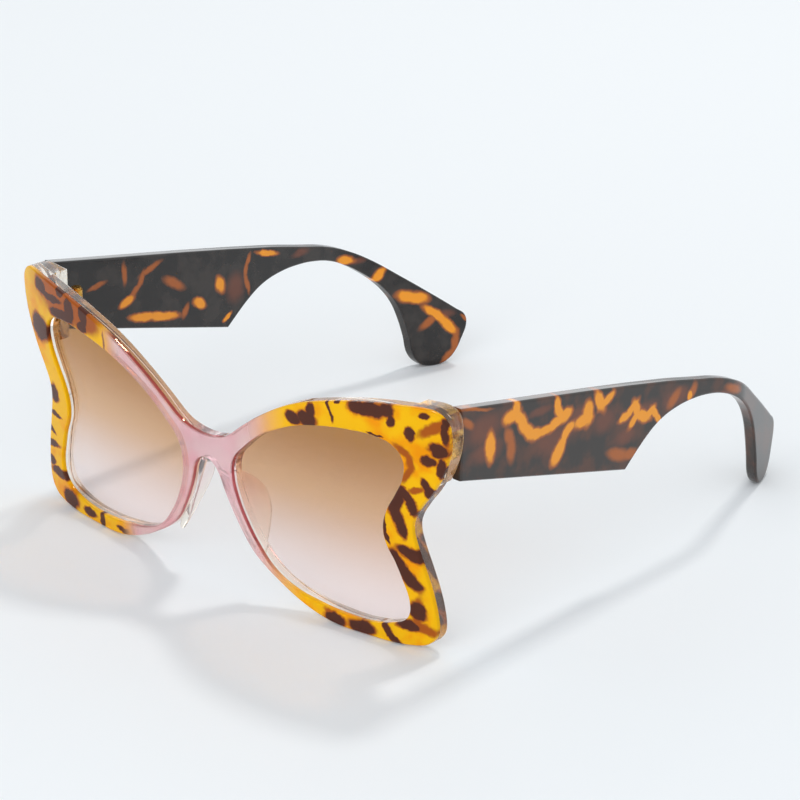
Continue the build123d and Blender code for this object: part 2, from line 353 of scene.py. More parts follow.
@dataclass(frozen=True)
class FadedTortoiseAcetate:
    """Cellulose acetate sheet, laminated, milled and barrel-polished.

    The eye gets a deep wet gloss over glowing amber with brown clouds at the wings, and a see-through
    pink at the bridge. Its cut walls get a painted deeper rose, standing in for light that runs far through the sheet
    there.
    """

    amber: str = "FFC414"
    deep_amber: str = "FB9C0C"
    glint: str = "FFB870"
    rust: str = "B05A20"
    brown: str = "54302A"
    peach: str = "FDBF88"
    pink: str = "FCDEE1"
    rose: str = "FAC4CE"
    # painted depth: the deeper rose that the cut walls get, standing in for light running far through the sheet
    painted_wall_depth: str = "B8434A"
    clear_share: float = 0.74
    amber_share: float = 0.25
    gloss: float = 0.04
    index: float = 1.49
    shine: float = 0.12
    wander: Point = (0.9, 0.55)
    rag: Point = (0.3, 0.3)  # waves in a millimetre, and how far they swing a rim
    cloud_waves: float = 0.12  # in a millimetre, so clouds about 8 mm across
    right_fade: Point = (9.0, 35.0)
    left_fade: Point = (-27.0, -39.0)
    deep_amber_from: Point = (0.45, 0.72)
    rose_from: Point = (0.4, 0.75)
    russet_rim: Point = (1.25, 0.6)
    rust_rim: Point = (1.35, 0.95)
    brown_rim: Point = (1.05, 0.85)
    # wall: where the painted wall depth sets in, by how squarely the surface faces the front
    wall: Point = (0.6, 0.3)  # how squarely the surface faces the front; 0 is a cut wall
    peach_from: Point = (0.05, 0.6)
    tortoise_from: Point = (0.35, 0.9)
    body_from: Point = (0.1, 0.85)
    dark: tuple[Blotch, ...] = patches(
        (35.5, 54.9, 5.5, 3.9), (36.6, 57.5, 2.8, 3.4), (31.1, 54.1, 4.5, 3.4), (44.8, 61.6, 1.5, 0.9),
        (50.8, 61.3, 5.9, 3.5), (54.7, 61.9, 6.2, 4.0), (57.9, 62.4, 3.7, 3.5), (58.9, 59.9, 1.9, 3.5),
        (63.6, 57.4, 2.7, 3.7), (67.2, 63.0, 2.6, 1.7), (72.3, 59.3, 1.9, 6.9), (70.4, 54.4, 4.7, 3.7),
        (67.9, 51.4, 3.9, 2.6), (71.0, 49.9, 2.1, 5.6), (62.9, 10.9, 4.8, 5.4), (60.2, 6.1, 6.4, 3.0),
        (38.7, 1.6, 6.2, 3.1), (46.8, 1.8, 7.5, 4.0), (-62.6, 61.4, 5.8, 4.6), (-57.3, 59.9, 10.0, 2.5),
        (-52.8, 62.8, 4.4, 2.8), (-65.3, 49.0, 8.3, 7.5), (-52.8, 56.3, 10.9, 3.4), (-48.6, 59.5, 4.7, 6.7),
        (-42.2, 60.6, 4.0, 9.4), (-43.6, 56.4, 5.3, 3.3), (-61.1, 31.8, 4.3, 5.2), (-65.2, 16.4, 7.8, 2.1),
        (-66.2, 11.0, 3.8, 3.0), (-62.2, 8.5, 9.5, 2.7), (-58.0, 2.9, 7.0, 5.4), (-49.3, 2.2, 5.5, 2.4),
        (-44.0, 2.0, 1.9, 5.3), (-35.4, 2.2, 5.0, 1.4),
    ) + streaks(
        (1.1, (41.9, 60.9), (42.4, 58.6), (42.9, 56.2)), (2.4, (66.6, 44.8), (68.0, 41.9)),
        (2.7, (60.5, 42.4), (62.0, 40.4), (63.4, 37.6)),
        (3.0, (59.7, 40.5), (58.3, 36.9), (59.7, 34.0), (60.1, 31.2)),
        (1.1, (55.5, 34.3), (55.3, 30.0), (56.2, 27.6)), (3.4, (60.6, 26.1), (64.2, 24.8)),
        (3.6, (57.8, 23.5), (60.2, 19.8), (62.9, 17.6)), (2.1, (53.7, 4.5), (55.3, 2.1), (57.4, 0.5)),
        (0.6, (53.0, 55.4), (56.5, 55.0)), (1.5, (-64.8, 26.1), (-59.8, 25.8)),
        (1.7, (-66.7, 21.5), (-63.9, 20.2)), (0.9, (-34.6, 57.2), (-34.6, 53.0)),
    )
    russet: tuple[Blotch, ...] = patches(
        (-50.4, 61.6, 32.6, 14.5), (-40.8, 58.4, 10.4, 6.7),
    ) + streaks(
        (2.2, (60.3, 53.5), (63.1, 51.6), (63.4, 48.4), (61.6, 45.2)), (1.6, (63.0, 42.7), (65.3, 43.4)),
        (3.2, (67.0, 58.3), (71.8, 61.5)), (1.6, (36.2, 3.3), (39.4, 2.3)),
        (3.2, (63.6, 13.5), (62.2, 6.9), (66.4, 6.0)),
    )

    def make(self) -> Material:
        """Builds the material.

        Returns:
            The material.
        """
        material, shader = shader_of("faded_tortoise_acetate", {
            "Roughness": self.gloss, "IOR": self.index, "Specular IOR Level": self.shine,
            "Specular Tint": linear(self.glint)})
        tree = material.node_tree
        place = place_in_mm(tree, *self.wander)
        across = add_node(tree, "ShaderNodeSeparateXYZ", links={0: place}).outputs[0]
        fade = maths(tree, "MAXIMUM", ramp_between(tree, across, self.right_fade),
                     ramp_between(tree, across, self.left_fade))
        near = ragged(tree, place, distance_to(tree, place, self.dark, False), *self.rag)
        warm = distance_to(tree, place, self.russet, False)
        clouds = noise_at(tree, place, self.cloud_waves)
        amber = mix_colour(tree, ramp_between(tree, clouds, self.deep_amber_from), self.amber, self.deep_amber)
        amber = mix_colour(tree, ramp_between(tree, warm, self.russet_rim), amber, self.rust)
        amber = mix_colour(tree, ramp_between(tree, near, self.rust_rim), amber, self.rust)
        tortoise = mix_colour(tree, ramp_between(tree, near, self.brown_rim), amber, self.brown)
        pink = mix_colour(tree, ramp_between(tree, clouds, self.rose_from), self.pink, self.rose)
        # Painted depth: cut walls, which face sideways, get a deeper rose in place of light running far through the
        # sheet.
        facing = add_node(tree, "ShaderNodeTexCoord").outputs["Normal"]
        facing = add_node(tree, "ShaderNodeSeparateXYZ", links={0: facing}).outputs[1]
        facing = ramp_between(tree, maths(tree, "ABSOLUTE", facing), self.wall)
        pink = mix_colour(tree, facing, pink, self.painted_wall_depth)
        pale = mix_colour(tree, ramp_between(tree, fade, self.peach_from), pink, self.peach)
        colour = mix_colour(tree, ramp_between(tree, fade, self.tortoise_from), pale, tortoise)
        clear = ramp_between(tree, fade, self.body_from, self.clear_share, self.amber_share)
        tree.links.new(colour, shader.inputs["Base Color"])
        tree.links.new(clear, shader.inputs["Transmission Weight"])
        return material


@dataclass(frozen=True)
class DarkTortoiseAcetate:
    """Cellulose acetate sheet, dark tortoise, milled flat and polished.

    The eye gets near-black brown under a wet gloss, with amber veins and rust clouds round them.
    """

    name: str
    black: str
    brown: str
    veins: tuple[Blotch, ...]
    clouds: tuple[Blotch, ...]
    haze: tuple[Blotch, ...]
    amber: str = "F29A12"
    orange: str = "A85A1E"
    rust: str = "74402C"
    gloss: float = 0.09
    index: float = 1.49
    wander: Point = (0.8, 0.22)
    rag: Point = (0.35, 0.3)  # waves in a millimetre, and how far they swing a rim
    ground_waves: float = 0.14  # in a millimetre, so tones about 7 mm across
    brown_from: Point = (0.42, 0.66)
    rust_share: float = 0.75
    rust_rim: Point = (1.3, 0.3)
    cloud_rim: Point = (1.5, 0.5)
    orange_rim: Point = (1.6, 1.0)
    amber_rim: Point = (1.2, 0.75)

    def make(self) -> Material:
        """Builds the material.

        Returns:
            The material.
        """
        material, shader = shader_of(self.name, {"Roughness": self.gloss, "IOR": self.index})
        tree = material.node_tree
        place = place_in_mm(tree, *self.wander)
        near = distance_to(tree, place, self.veins, True)
        cloud = distance_to(tree, place, self.clouds, True)
        haze = distance_to(tree, place, self.haze, True)
        shift = noise_at(tree, place, self.ground_waves)
        ground = mix_colour(tree, ramp_between(tree, shift, self.brown_from), self.black, self.brown)
        rust = ramp_between(tree, haze, self.rust_rim, 0.0, self.rust_share)
        ground = mix_colour(tree, rust, ground, self.rust)
        near = ragged(tree, place, near, *self.rag)
        ground = mix_colour(tree, ramp_between(tree, cloud, self.cloud_rim), ground, self.orange)
        ground = mix_colour(tree, ramp_between(tree, near, self.orange_rim), ground, self.orange)
        colour = mix_colour(tree, ramp_between(tree, near, self.amber_rim), ground, self.amber)
        tree.links.new(colour, shader.inputs["Base Color"])
        return material


RIGHT_SHEET = DarkTortoiseAcetate(
    name="dark_tortoise_acetate_right",
    black="332E2B",
    brown="53362A",
    veins=veins(
        ((-42.8, 58.5, 2.3), (-43.2, 56.3, 2.0), (-45.9, 55.8, 3.1)),
        ((-43.2, 56.0, 2.3), (-40.9, 54.2, 2.3), (-39.9, 51.7, 2.6), (-37.5, 49.2, 2.6), (-34.1, 48.6, 2.0),
         (-29.9, 48.9, 1.7), (-26.1, 49.8, 2.9), (-24.0, 50.7, 2.0)),
        ((-27.7, 54.8, 2.6), (-27.5, 52.9, 1.2), (-26.1, 50.7, 2.9)),
        ((-16.3, 49.1, 2.8), (-16.2, 46.7, 3.5), (-19.6, 46.6, 1.8)),
        ((-22.4, 47.0, 1.8), (-23.9, 46.1, 2.4), (-25.6, 44.0, 1.8), (-27.5, 41.6, 2.9), (-28.4, 40.2, 3.1)),
        ((-12.5, 51.2, 2.1), (-10.9, 48.2, 2.1), (-7.8, 50.0, 1.5)),
        ((-3.4, 42.4, 1.5), (-0.8, 43.1, 2.0), (1.6, 45.1, 1.8), (2.8, 42.0, 2.4), (6.4, 39.9, 2.0),
         (8.4, 41.4, 1.5), (10.0, 39.1, 1.4), (11.7, 37.4, 0.9)),
        ((2.8, 42.0, 2.0), (0.2, 39.9, 1.1)), ((23.3, 40.8, 1.5), (23.3, 40.3, 1.7)),
        ((-52.2, 53.0, 2.3), (-52.2, 48.6, 2.6)),
    ),
    clouds=veins(
        ((-45.8, 52.2, 2.9), (-44.8, 49.8, 1.7), (-44.5, 45.9, 3.2)), ((-61.4, 60.1, 1.7), (-59.3, 58.2, 1.5)),
        ((25.0, 42.3, 2.0), (24.0, 40.6, 2.3)), ((39.0, 38.0, 1.8), (44.3, 35.4, 2.0)),
        ((-7.1, 34.6, 2.4), (-1.8, 32.5, 2.6), (1.8, 31.9, 1.8)), ((18.0, 42.4, 2.6), (15.8, 40.7, 2.3)),
        ((-61.4, 62.9, 0.9), (-52.5, 60.5, 0.6)),
    ),
    haze=patches(
        (-53.5, 50.0, 13.0, 5.5), (-54.5, 56.0, 15.0, 9.0), (-29.0, 45.1, 17.1, 7.2), (-10.1, 44.2, 9.7, 6.7),
        (-1.9, 37.4, 8.0, 4.9), (17.6, 41.7, 12.0, 5.6), (3.2, 42.1, 17.1, 5.5), (-19.7, 48.7, 10.4, 5.4),
        (-34.2, 54.1, 10.1, 2.4), (41.1, 37.0, 13.5, 3.2),
    ),
)
# Darker than the right sheet: its black and brown are painted shade on the far temple, whose inner face is the one
# seen.
SHADED_LEFT_SHEET = DarkTortoiseAcetate(
    name="dark_tortoise_acetate_left_painted_shade",
    # black and brown: painted shade, darker than the right sheet's
    black="1F1C1B",
    brown="332E2B",
    veins=streaks(
        (2.1, (-38.5, 45.5), (-36.1, 46.2)), (2.1, (-34.7, 40.7), (-28.6, 39.0), (-21.2, 37.2)),
        (1.3, (-0.9, 32.0), (-2.3, 31.3)), (2.3, (-12.3, 38.5), (-10.9, 37.6)),
        (2.9, (-4.5, 42.0), (-3.9, 40.8)), (3.0, (59.1, 22.4), (61.8, 21.5), (64.0, 20.8)),
        (2.2, (65.8, 17.4), (69.9, 13.4), (73.1, 10.0)), (2.4, (41.2, 36.2), (43.3, 35.7)),
        (2.4, (51.5, 29.3), (52.4, 30.4)), (1.5, (10.7, 46.6), (15.5, 44.9)),
    ),
    clouds=streaks(
        (1.7, (-38.1, 55.5), (-37.9, 51.7)), (1.5, (-49.5, 52.6), (-45.6, 53.2)),
        (1.6, (-26.2, 53.3), (-31.6, 51.6), (-33.0, 48.8), (-35.8, 46.9)), (2.6, (-22.9, 47.6), (-18.9, 45.2)),
        (2.1, (-16.4, 38.3), (-17.1, 36.9)), (1.4, (6.6, 46.6), (5.4, 44.2), (5.0, 41.6), (5.8, 37.2)),
        (1.9, (74.0, 8.4), (73.1, 4.2), (70.4, 1.3)), (2.4, (64.7, 12.4), (66.7, 13.9)),
        (1.0, (75.5, 13.4), (76.7, 12.2)),
    ),
    haze=patches(
        (1.2, 39.0, 7.0, 9.0), (25.6, 42.4, 7.2, 2.7), (69.9, 14.8, 7.2, 2.9), (45.7, 35.0, 5.7, 2.3),
    ),
)
SHEETS = {Side.LEFT: SHADED_LEFT_SHEET, Side.RIGHT: RIGHT_SHEET}


@dataclass(frozen=True)
class ClearAcetate:
    """Clear cellulose acetate, moulded and polished.

    The eye gets a see-through body with bright and dark lines where its edges bend the light, and a
    blush of the bridge's pink.
    """

    tint: str = "FBF5EA"
    blush: str = "FDEBEC"
    gloss: float = 0.03
    index: float = 1.49
    body: float = 0.95
    wander: Point = (1.0, 0.3)
    tint_from: Point = (6.0, 13.0)

    def make(self) -> Material:
        """Builds the material.

        Returns:
            The material.
        """
        material, shader = shader_of("clear_acetate", {
            "Roughness": self.gloss, "IOR": self.index, "Transmission Weight": 1.0, "Alpha": self.body})
        tree = material.node_tree
        across = add_node(tree, "ShaderNodeSeparateXYZ", links={0: place_in_mm(tree, *self.wander)}).outputs[0]
        share = ramp_between(tree, maths(tree, "ABSOLUTE", across), self.tint_from)
        tree.links.new(mix_colour(tree, share, self.blush, self.tint), shader.inputs["Base Color"])
        return material


@dataclass(frozen=True)
class GradientLens:
    """CR-39 resin lens, dip-tinted brown at the brow and pale pink at the cheek, hard-coated.

    The eye sees through it with a warm tint that thins downwards, under a mirror-smooth gloss. A sheet
    this thin and even shifts what lies behind it by under a millimetre, so the body hardly bends light,
    and the hard coat carries the resin's index and its reflections.
    """

    top: str = "A45F12"
    middle: str = "DC9C62"
    foot: str = "FFE6E2"
    top_level: float = 53.0
    foot_level: float = 6.0
    middle_from: Point = (0.0, 0.6)
    top_from: Point = (0.45, 1.0)
    dense_from: Point = (0.0, 0.95)
    dense: float = 0.78
    thin: float = 0.5
    coat: float = 0.6
    gloss: float = 0.02
    index: float = 1.01
    coat_index: float = 1.5

    def make(self) -> Material:
        """Builds the material.

        Returns:
            The material.
        """
        material, shader = shader_of("gradient_lens", {
            "Transmission Weight": 1.0, "Roughness": self.gloss, "IOR": self.index, "Coat Weight": self.coat,
            "Coat Roughness": self.gloss, "Coat IOR": self.coat_index})
        tree = material.node_tree
        place = add_node(tree, "ShaderNodeTexCoord").outputs["Object"]
        level = add_node(tree, "ShaderNodeSeparateXYZ", links={0: place}).outputs[2]
        height = add_node(tree, "ShaderNodeMapRange", {1: self.foot_level * MM, 2: self.top_level * MM},
                          {0: level}).outputs[0]
        colour = mix_colour(tree, ramp_between(tree, height, self.middle_from), self.foot, self.middle)
        colour = mix_colour(tree, ramp_between(tree, height, self.top_from), colour, self.top)
        body = ramp_between(tree, height, self.dense_from, self.thin, self.dense)
        tree.links.new(colour, shader.inputs["Base Color"])
        tree.links.new(body, shader.inputs["Alpha"])
        return material


@dataclass(frozen=True)
class PlatedHinge:
    """Nickel silver, stamped and gold-plated.

    The eye gets a warm metal with soft bright lines along its worn edges.
    """

    gold: str = "E2B257"
    shade: str = "B98A3C"
    bright: float = 0.18
    dull: float = 0.34
    wander: Point = (0.1, 0.05)
    grain_waves: float = 2.0  # in a millimetre, so marks half a millimetre across
    shade_from: Point = (0.35, 0.7)
    dull_from: Point = (0.3, 0.7)

    def make(self) -> Material:
        """Builds the material.

        Returns:
            The material.
        """
        material, shader = shader_of("plated_hinge", {"Metallic": 1.0})
        tree = material.node_tree
        place = place_in_mm(tree, *self.wander)
        grain = noise_at(tree, place, self.grain_waves)
        colour = mix_colour(tree, ramp_between(tree, grain, self.shade_from), self.gold, self.shade)
        gloss = ramp_between(tree, grain, self.dull_from, self.bright, self.dull)
        tree.links.new(colour, shader.inputs["Base Color"])
        tree.links.new(gloss, shader.inputs["Roughness"])
        return material


# Shared mesh helpers


def plate_from(loops: list[list[Control]], thickness: float, rounding: float, grow: float = 0.0) -> Shape:
    """Makes a flat plate with rounded rims from smooth closed outlines.

    Args:
        loops: control points of each outline, as across, up and how the point joins its neighbours.
        thickness: the plate's thickness.
        rounding: radius of its rims.
        grow: how far the outline is moved outwards.

    Returns:
        The plate, standing in the XZ plane, its front at Y 0 and its back at Y thickness.
    """
    curve = bpy.data.curves.new("outline", "CURVE")
    curve.dimensions = "2D"
    curve.fill_mode = "BOTH"
    curve.resolution_u = SPAN_STEPS
    curve.extrude = thickness / 2 - rounding
    curve.bevel_depth = rounding
    curve.bevel_resolution = RIM_STEPS
    curve.offset = grow - rounding
    for loop in loops:
        spline = curve.splines.new("BEZIER")
        spline.bezier_points.add(len(loop) - 1)
        spline.use_cyclic_u = True
        for control, (across, up, edge) in zip(spline.bezier_points, loop):
            control.co = (across, up, 0)
            control.handle_left_type = control.handle_right_type = edge.value
    holder = bpy.data.objects.new("outline", curve)
    bpy.context.scene.collection.objects.link(holder)
    bpy.context.view_layer.update()
    mesh = bpy.data.meshes.new_from_object(holder.evaluated_get(bpy.context.evaluated_depsgraph_get()))
    plate = bmesh.new()
    plate.from_mesh(mesh)
    bpy.data.objects.remove(holder)
    bpy.data.curves.remove(curve)
    bpy.data.meshes.remove(mesh)
    bmesh.ops.remove_doubles(plate, verts=plate.verts, dist=MERGE)
    for vertex in plate.verts:
        across, up, deep = vertex.co
        vertex.co = (across, thickness / 2 - deep, up)
    bmesh.ops.recalc_face_normals(plate, faces=plate.faces)
    return plate


def cut_across(shape: Shape, axis: int, start: float, stop: float, pitch: float) -> None:
    """Divides a shape by evenly spaced planes, so that it can be bent.

    Args:
        shape: the mesh.
        axis: 0, 1 or 2 for X, Y or Z.
        start: the first plane.
        stop: where the planes end.
        pitch: the space between them.
    """
    normal = [0.0, 0.0, 0.0]
    normal[axis] = 1.0
    for number in range(int((stop - start) / pitch) + 1):
        spot = [0.0, 0.0, 0.0]
        spot[axis] = start + number * pitch
        geometry = shape.verts[:] + shape.edges[:] + shape.faces[:]
        bmesh.ops.bisect_plane(shape, geom=geometry, dist=NEAR_PLANE, plane_co=spot, plane_no=normal)


def held(shape: Shape, name: str) -> bpy.types.Object:
    """Puts a shape into an object.

    Args:
        shape: the mesh; it is freed.
        name: the object's name.

    Returns:
        The object, linked to the scene.
    """
    mesh = bpy.data.meshes.new(name)
    shape.to_mesh(mesh)
    shape.free()
    holder = bpy.data.objects.new(name, mesh)
    bpy.context.scene.collection.objects.link(holder)
    return holder


def joined(shape: Shape, others: list[Shape]) -> Shape:
    """Joins solids into one.

    Args:
        shape: the first solid; it is freed.
        others: the solids that join it; they are freed.

    Returns:
        The one solid.
    """
    base = held(shape, "base")
    lugs = [held(other, "lug") for other in others]
    for lug in lugs:
        step = base.modifiers.new("join", "BOOLEAN")
        step.operation = "UNION"
        step.solver = "EXACT"
        step.object = lug
    bpy.context.view_layer.update()
    mesh = bpy.data.meshes.new_from_object(base.evaluated_get(bpy.context.evaluated_depsgraph_get()))
    result = bmesh.new()
    result.from_mesh(mesh)
    bpy.data.meshes.remove(mesh)
    for holder in [base, *lugs]:
        bpy.data.objects.remove(holder)
    return result


def piece_from(shape: Shape, name: str, material: Material, body: str,
               stands_for: str) -> bpy.types.Object:
    """Turns a finished shape into a piece of the object.

    Args:
        shape: the mesh in millimetres; it is freed.
        name: the piece's name.
        material: its finish.
        body: the body that it rides on.
        stands_for: the node that it replaces.

    Returns:
        The piece.
    """
    bmesh.ops.scale(shape, vec=(MM, MM, MM), verts=shape.verts)
    if shape.calc_volume(signed=True) < 0:
        bmesh.ops.reverse_faces(shape, faces=shape.faces)
    for face in shape.faces:
        face.smooth = True
    piece = held(shape, name)
    mesh = piece.data
    mesh.materials.append(material)
    mesh.set_sharp_from_angle(angle=math.radians(CRISP))
    even = piece.modifiers.new("even shading", "WEIGHTED_NORMAL")
    even.mode = "FACE_AREA"
    even.weight = 50
    even.keep_sharp = True
    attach(piece, body)
    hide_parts(stands_for)
    log.info("%s: %d faces", name, len(mesh.polygons))
    return piece


def smooth(points: list[Point]) -> list[Control]:
    """Marks every point of an outline as smooth."""
    return [(across, up, Edge.SMOOTH) for across, up in points]


# Sub-assemblies


@dataclass
class Front:
    """The front: a coloured layer on a clear one, the lenses, and the curved surface that they follow.

    Its control points are shares of the half width and the height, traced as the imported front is.
    """

    half_width: float = 73.2
    height: float = 64.6
    foot_face: float = -71.95  # Y of the face's foot in the middle
    lean: float = 7.1  # how far its top stands in front of its foot
    cheek_wrap: float = 7.9
    brow_wrap: float = 10.9
    overrun: float = 5.0
    round_share: float = 0.6  # of the wrap that is a parabola; the rest turns in at the wings
    cut_reach: float = 72.0
    cut_pitch: float = 1.5
    level_start: float = 3.0
    level_stop: float = 63.0
    level_pitch: float = 3.0
    face_thickness: float = 1.2
    thickness: float = 4.0
    rounding: float = 0.5
    lens_set: float = 2.1
    lens_thickness: float = 1.4
    lens_rounding: float = 0.1
    lens_bite: float = 0.85
    overlap: float = 0.02  # of the two layers, so that light passes as in one sheet
    trim: float = 0.075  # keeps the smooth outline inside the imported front's box
    boss_loop: tuple[Control, ...] = (
        (62.3, 45.0, Edge.CORNER), (62.3, 63.4, Edge.CORNER), (70.9, 63.4, Edge.SMOOTH), (72.4, 61.9, Edge.SMOOTH),
        (73.05, 59.0, Edge.SMOOTH), (72.8, 53.9, Edge.SMOOTH), (71.1, 48.4, Edge.SMOOTH), (69.4, 45.0, Edge.CORNER),
    )
    boss_depth: float = 4.0
    boss_root: float = 1.4
    boss_rounding: float = 0.9
    boss_back: float = -62.35
    pad_loop: tuple[Control, ...] = (
        (-0.5, -0.3, Edge.CORNER), (-0.26, 0.52, Edge.SMOOTH), (0, 1, Edge.SMOOTH), (0.2, 0.88, Edge.SMOOTH),
        (0.5, -0.3, Edge.CORNER),
    )
    pad_height: float = 26.0
    pad_depth: float = 6.6
    pad_thickness: float = 1.8
    pad_rounding: float = 0.75
    pad_middle: Point = (8.9, 21.5)
    pad_slope: float = 25.5
    pad_flare: float = 18.0
    corner_radius: float = 5.6
    wing_tip_radius: float = 6.0
    wing_tip_middle: Point = (61.78, 6.98)
    wing_tip_turn: float = 78.5
    arc_points: int = 5
    brow: tuple[Point, ...] = (
        (0.014, 0.630), (0.066, 0.639), (0.105, 0.655), (0.186, 0.724), (0.283, 0.802),
        (0.418, 0.887), (0.544, 0.937), (0.661, 0.969), (0.770, 0.989), (0.850, 0.997),
    )
    side: tuple[Point, ...] = (
        (0.996, 0.834), (0.973, 0.749), (0.934, 0.664), (0.891, 0.594), (0.863, 0.534),
        (0.858, 0.492), (0.866, 0.437), (0.889, 0.345), (0.910, 0.255), (0.923, 0.170),
    )
    foot: tuple[Point, ...] = (
        (0.769, 0.002), (0.642, 0.0004), (0.549, 0.001), (0.486, 0.010), (0.383, 0.048), (0.298, 0.098),
        (0.214, 0.161), (0.173, 0.207), (0.135, 0.274), (0.097, 0.356), (0.072, 0.424),
        (0.056, 0.477), (0.034, 0.512), (0.014, 0.524),
    )
    opening: tuple[Point, ...] = (
        (0.119, 0.488), (0.135, 0.567), (0.183, 0.628), (0.258, 0.701), (0.343, 0.757),
        (0.430, 0.800), (0.536, 0.831), (0.653, 0.848), (0.745, 0.847), (0.805, 0.825),
        (0.835, 0.777), (0.833, 0.712), (0.798, 0.624), (0.765, 0.556), (0.747, 0.480),
        (0.755, 0.415), (0.783, 0.351), (0.807, 0.280), (0.828, 0.195), (0.824, 0.142),
        (0.801, 0.108), (0.755, 0.084), (0.676, 0.065), (0.567, 0.063), (0.449, 0.076),
        (0.355, 0.098), (0.268, 0.149), (0.208, 0.226), (0.163, 0.310), (0.134, 0.390),
    )

    def spread(self, shares: tuple[Point, ...]) -> list[Point]:
        """Turns shares of the half width and the height into millimetres."""
        return [(across * self.half_width, up * self.height) for across, up in shares]

    def arc(self, middle: Point, radius: float, start: float, turn: float) -> list[Point]:
        """Gives points along an arc.

        Args:
            middle: the arc's middle.
            radius: its radius.
            start: where it starts, in degrees.
            turn: how far it turns, in degrees.

        Returns:
            The points.
        """
        gaps = self.arc_points - 1
        angles = [math.radians(start + turn * step / gaps) for step in range(self.arc_points)]
        return [(middle[0] + radius * math.cos(a), middle[1] + radius * math.sin(a)) for a in angles]

    def outline(self) -> list[Point]:
        """Gives the whole outline.

        Returns:
            Its points, clockwise from the top of the bridge.
        """
        inset = self.corner_radius
        corner = self.arc((self.half_width - inset, self.height - inset), inset, 90, -90)
        wing_tip = self.arc(self.wing_tip_middle, self.wing_tip_radius, 0, -self.wing_tip_turn)
        right = self.spread(self.brow) + corner + self.spread(self.side) + wing_tip + self.spread(self.foot)
        return right + [(-across, up) for across, up in reversed(right)]

    def surface(self, across: float, up: float) -> float:
        """Gives the depth of the front's face at a place.

        Args:
            across: the place's X.
            up: its Z.

        Returns:
            The face's Y there.
        """
        share = abs(across) / self.half_width
        wrap = self.cheek_wrap + (self.brow_wrap - self.cheek_wrap) * (up + self.overrun) / (
            self.height + 2 * self.overrun)
        turn = self.round_share * share ** 2 + (1 - self.round_share) * share ** 4
        return self.foot_face - self.lean * up / self.height + wrap * turn

    def bend(self, shape: Shape) -> None:
        """Divides a flat plate, then leans and wraps it to the front's surface.

        Args:
            shape: the plate.
        """
        cut_across(shape, 0, -self.cut_reach, self.cut_reach, self.cut_pitch)
        cut_across(shape, 2, self.level_start, self.level_stop, self.level_pitch)
        for vertex in shape.verts:
            vertex.co.y += self.surface(vertex.co.x, vertex.co.z)

    def layer(self, near_side: bool) -> Shape:
        """Builds the flat blank of the front and keeps one of its two layers, bent to shape.

        Args:
            near_side: whether the coloured layer is kept, and not the clear one behind it.

        Returns:
            The layer.
        """
        hole = self.spread(self.opening)
        loops = [smooth(self.outline()), smooth(hole), smooth([(-across, up) for across, up in hole])]
        shape = plate_from(loops, self.thickness, self.rounding, -self.trim)
        depth = self.face_thickness - (0 if near_side else self.overlap)
        geometry = shape.verts[:] + shape.edges[:] + shape.faces[:]
        bmesh.ops.bisect_plane(shape, geom=geometry, dist=NEAR_PLANE, plane_co=(0, depth, 0),
                               plane_no=(0, 1, 0), clear_outer=near_side, clear_inner=not near_side)
        rim = [edge for edge in shape.edges if edge.is_boundary]
        bmesh.ops.triangle_fill(shape, use_beauty=True, use_dissolve=False, edges=rim)
        self.bend(shape)
        bmesh.ops.recalc_face_normals(shape, faces=shape.faces)
        return shape

    def build_face(self, material: Material) -> bpy.types.Object:
        """Builds the coloured layer."""
        return piece_from(self.layer(True), "coloured_face", material, "front", "front_face")

    def boss(self, side: Side) -> Shape:
        """Builds the block behind a top corner that carries a hinge, its front end inside the clear layer.

        Args:
            side: which corner.

        Returns:
            The block.
        """
        loop = [(side.value * across, up, edge) for across, up, edge in self.boss_loop]
        shape = plate_from([loop], self.boss_depth, self.boss_rounding)
        for vertex in shape.verts:
            if vertex.co.y < self.boss_depth / 2:
                vertex.co.y = self.surface(vertex.co.x, vertex.co.z) + self.thickness - self.boss_root
            else:
                vertex.co.y += self.boss_back - self.boss_depth
        bmesh.ops.recalc_face_normals(shape, faces=shape.faces)
        return shape

    def nose_pad(self, side: Side) -> Shape:
        """Builds a nose pad, a rounded leaf that flares outwards as it runs back from the rim.

        Args:
            side: which pad.

        Returns:
            The pad, its root inside the clear layer.
        """
        loop = [(along * self.pad_height, back * self.pad_depth, edge) for along, back, edge in self.pad_loop]
        shape = plate_from([loop], self.pad_thickness, self.pad_rounding)
        slope, flare = math.radians(self.pad_slope), math.radians(self.pad_flare)
        along = Vector((-math.sin(slope), -self.lean / self.height, math.cos(slope))).normalized()
        facing = along.cross(Vector((math.sin(flare), math.cos(flare), 0))).normalized()
        across, up = self.pad_middle
        seat = Vector((across, self.foot_face - self.lean / self.height * up + self.thickness, up))
        turn = Matrix((along, facing, facing.cross(along))).transposed()
        bmesh.ops.translate(shape, vec=(0, -self.pad_thickness / 2, 0), verts=shape.verts)
        bmesh.ops.transform(shape, matrix=Matrix.Translation(seat) @ turn.to_4x4(), verts=shape.verts)
        bmesh.ops.scale(shape, vec=(side.value, 1, 1), verts=shape.verts)
        bmesh.ops.recalc_face_normals(shape, faces=shape.faces)
        return shape

    def build_clear(self, material: Material) -> bpy.types.Object:
        """Builds the clear layer with its bosses and nose pads.

        Args:
            material: its finish.

        Returns:
            The piece.
        """
        lugs = [build(side) for side in Side for build in (self.boss, self.nose_pad)]
        shape = joined(self.layer(False), lugs)
        return piece_from(shape, "clear_layer", material, "front", "clear_frame")

    def build_lens(self, side: Side, material: Material) -> bpy.types.Object:
        """Builds one lens, its rim inside the clear layer.

        Args:
            side: which lens.
            material: its finish.

        Returns:
            The piece.
        """
        loop = smooth([(side.value * across, up) for across, up in self.spread(self.opening)])
        shape = plate_from([loop], self.lens_thickness, self.lens_rounding, self.lens_bite)
        bmesh.ops.translate(shape, vec=(0, self.lens_set, 0), verts=shape.verts)
        self.bend(shape)
        return piece_from(shape, f"tinted_lens_{side.word}", material, "front", f"lens_{side.word}")


